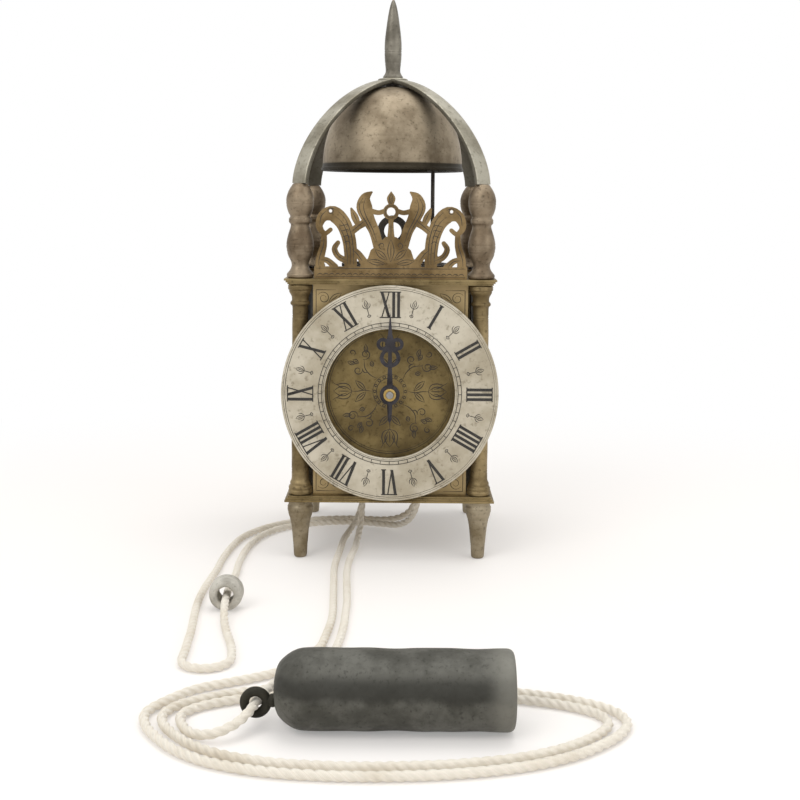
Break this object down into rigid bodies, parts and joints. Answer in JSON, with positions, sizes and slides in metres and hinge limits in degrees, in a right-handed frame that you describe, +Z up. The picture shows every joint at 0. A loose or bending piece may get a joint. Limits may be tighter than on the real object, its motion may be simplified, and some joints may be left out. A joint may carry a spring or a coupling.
{
  "type": "lantern clock",
  "caption": "Weight-driven brass lantern clock with one hour hand, balance escapement, count-wheel strike on a domed bell in a four-armed cage, and its rope and lead weight",
  "frame": {"origin": "middle of the case on the surface that the feet stand on", "axes": "+Z up, the dial faces -Y, +X to the right as seen from the front"},
  "size_m": [0.2432, 0.4896, 0.403],
  "materials": {
    "case_brass": "aged brass, satin, browned",
    "turned_brass": "aged brass, grey-brown, worn bright on the turnings",
    "bell_bronze": "bell metal, dull satin",
    "silvered": "silvered brass ring, dull, slightly yellowed",
    "black_wax": "black engraver's wax",
    "blued_steel": "dark blued steel",
    "steel": "bright filed steel",
    "iron": "forged iron, dark",
    "wheel_brass": "clean wheel brass",
    "rope": "laid cotton rope, cream",
    "lead": "dull grey lead, dented"
  },
  "bodies": {
    "case": {"base_plate": "case_brass", "top_plate": "case_brass", "foot_fl": "turned_brass", "foot_fr": "turned_brass", "foot_rl": "turned_brass", "foot_rr": "turned_brass", "pillar_fl": "case_brass", "pillar_fr": "case_brass", "pillar_rl": "case_brass", "pillar_rr": "case_brass", "finial_fl": "turned_brass", "finial_fr": "turned_brass", "finial_rl": "turned_brass", "finial_rr": "turned_brass", "bell_strap": "turned_brass", "bell": "bell_bronze", "bell_nut": "iron", "spire": "turned_brass", "fret_front": "case_brass", "fret_left": "case_brass", "fret_right": "case_brass", "fret_screws": "steel", "dial_plate": "case_brass", "chapter_ring": "silvered", "numerals": "black_wax", "hand_washer": "case_brass", "back_plate": "iron", "hanging_hoop": "iron", "front_bar": "iron", "middle_bar": "iron", "rear_bar": "iron", "balance_cock": "wheel_brass", "hour_stud": "steel", "hammer_spring": "steel", "rope_sheaves": "rope", "rope_counter": "rope", "counter_ring": "lead", "rope_run": "rope", "rope_loops": "rope", "lead_weight": "lead"},
    "going_great": {"going_wheel": "wheel_brass", "going_arbor": "steel"},
    "second": {"second_wheel": "wheel_brass", "second_arbor": "steel"},
    "crown": {"crown_wheel": "wheel_brass"},
    "balance": {"verge": "steel", "balance_wheel": "wheel_brass"},
    "hour": {"hour_wheel": "wheel_brass", "hour_hand": "blued_steel"},
    "strike_great": {"strike_wheel": "wheel_brass", "strike_arbor": "steel"},
    "hoop": {"hoop_wheel": "wheel_brass"},
    "warning": {"warning_wheel": "wheel_brass"},
    "fly": {"fly": "wheel_brass"},
    "count": {"count_wheel": "wheel_brass"},
    "hammer": {"hammer": "steel"},
    "lifting": {"lifting_piece": "steel"},
    "detent": {"detent": "steel"},
    "left_door": {"left_door": "case_brass"},
    "right_door": {"right_door": "case_brass"}
  },
  "joints": [
    {"name": "going_great_turn", "type": "hinge", "parent": "case", "child": "going_great", "pos_m": [0, -0.025, 0.082], "axis": [0, -1, 0], "continuous": true},
    {"name": "second_turn", "type": "hinge", "parent": "case", "child": "second", "pos_m": [0, -0.038, 0.1198], "axis": [0, -1, 0], "continuous": true},
    {"name": "crown_turn", "type": "hinge", "parent": "case", "child": "crown", "pos_m": [0, -0.03, 0.1498], "axis": [0, -1, 0], "continuous": true},
    {"name": "hour_turn", "type": "hinge", "parent": "case", "child": "hour", "pos_m": [0, -0.06, 0.12], "axis": [0, -1, 0], "continuous": true},
    {"name": "balance_swing", "type": "hinge", "parent": "case", "child": "balance", "pos_m": [0.003, -0.0115, 0.207], "axis": [0, 0, 1], "range_deg": [-45, 45]},
    {"name": "hoop_turn", "type": "hinge", "parent": "case", "child": "hoop", "pos_m": [0, 0.003, 0.1177], "axis": [0, -1, 0], "continuous": true},
    {"name": "strike_great_turn", "type": "hinge", "parent": "case", "child": "strike_great", "pos_m": [0, 0.027, 0.082], "axis": [0, -1, 0], "continuous": true},
    {"name": "warning_turn", "type": "hinge", "parent": "case", "child": "warning", "pos_m": [0, 0.031, 0.1474], "axis": [0, -1, 0], "continuous": true},
    {"name": "fly_turn", "type": "hinge", "parent": "case", "child": "fly", "pos_m": [0, 0.015, 0.1684], "axis": [0, -1, 0], "continuous": true},
    {"name": "count_turn", "type": "hinge", "parent": "case", "child": "count", "pos_m": [0, 0.046, 0.1128], "axis": [0, -1, 0], "continuous": true},
    {"name": "hammer_rock", "type": "hinge", "parent": "case", "child": "hammer", "pos_m": [0.031, 0.018, 0.112], "axis": [0, -1, 0], "range_deg": [0, 8], "stiffness_Nm_per_rad": 0.05},
    {"name": "lifting_rock", "type": "hinge", "parent": "case", "child": "lifting", "pos_m": [-0.038, 0, 0.1278], "axis": [0, -1, 0], "range_deg": [0, 15]},
    {"name": "detent_rock", "type": "hinge", "parent": "case", "child": "detent", "pos_m": [-0.038, 0, 0.1498], "axis": [0, -1, 0], "range_deg": [0, 12]},
    {"name": "left_door_swing", "type": "hinge", "parent": "case", "child": "left_door", "pos_m": [-0.0635, 0.051, 0.12], "axis": [0, 0, -1], "range_deg": [0, 100]},
    {"name": "right_door_swing", "type": "hinge", "parent": "case", "child": "right_door", "pos_m": [0.0635, 0.051, 0.12], "axis": [0, 0, 1], "range_deg": [0, 100]}
  ],
  "couplings": [
    {"joint": "second_turn", "follows": "going_great_turn", "ratio": -8},
    {"joint": "crown_turn", "follows": "going_great_turn", "ratio": 72},
    {"joint": "hour_turn", "follows": "going_great_turn", "ratio": -0.083333},
    {"joint": "strike_great_turn", "follows": "hoop_turn", "ratio": -0.076923},
    {"joint": "warning_turn", "follows": "hoop_turn", "ratio": -10},
    {"joint": "fly_turn", "follows": "hoop_turn", "ratio": 90},
    {"joint": "count_turn", "follows": "hoop_turn", "ratio": 0.012821}
  ]
}
